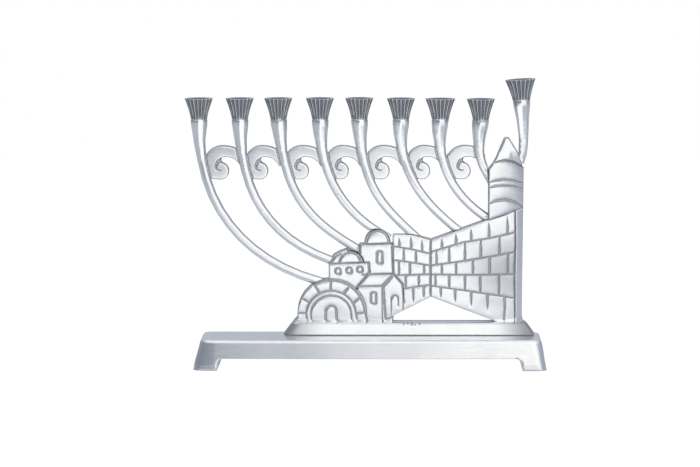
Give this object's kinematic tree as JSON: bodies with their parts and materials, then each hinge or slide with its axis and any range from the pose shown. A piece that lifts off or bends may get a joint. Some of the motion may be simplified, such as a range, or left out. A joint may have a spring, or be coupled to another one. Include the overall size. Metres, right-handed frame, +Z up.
{
  "type": "hanukkah lamp with backplate",
  "caption": "Cast aluminium hanukkah lamp on a bench base, with swept arms and fluted candle cups rising from an openwork relief of an old walled town.",
  "frame": {"origin": "centre of the bounding box at the floor that the bench base stands on", "axes": "+X to the right along the row of cups, +Y to the back, +Z up; the relief faces -Y"},
  "size_m": [0.2702, 0.05, 0.2163],
  "materials": {
    "polished_aluminium": "hand polished, with dark as-cast recesses",
    "cup_aluminium": "as-cast flutes with brushed crests",
    "fixing_steel": "plain steel"
  },
  "bodies": {
    "root": {"base_bench": "polished_aluminium", "plinth": "polished_aluminium", "gate_arch": "polished_aluminium", "small_domed_house": "polished_aluminium", "small_dome": "polished_aluminium", "tall_house": "polished_aluminium", "tall_dome": "polished_aluminium", "low_house": "polished_aluminium", "gable_house": "polished_aluminium", "left_wall": "polished_aluminium", "right_wall": "polished_aluminium", "tower_shaft": "polished_aluminium", "tower_roof": "polished_aluminium", "branch_1": "polished_aluminium", "branch_2": "polished_aluminium", "branch_3": "polished_aluminium", "branch_4": "polished_aluminium", "branch_5": "polished_aluminium", "branch_6": "polished_aluminium", "branch_7": "polished_aluminium", "branch_8": "polished_aluminium", "shamash_branch": "polished_aluminium", "scroll_1": "polished_aluminium", "scroll_2": "polished_aluminium", "scroll_3": "polished_aluminium", "scroll_4": "polished_aluminium", "scroll_5": "polished_aluminium", "scroll_6": "polished_aluminium", "scroll_7": "polished_aluminium", "cup_1": "cup_aluminium", "cup_2": "cup_aluminium", "cup_3": "cup_aluminium", "cup_4": "cup_aluminium", "cup_5": "cup_aluminium", "cup_6": "cup_aluminium", "cup_7": "cup_aluminium", "cup_8": "cup_aluminium", "shamash_cup": "cup_aluminium", "base_washer_1": "fixing_steel", "base_washer_2": "fixing_steel", "base_washer_3": "fixing_steel", "base_screw_1": "fixing_steel", "base_screw_2": "fixing_steel", "base_screw_3": "fixing_steel"}
  },
  "joints": []
}
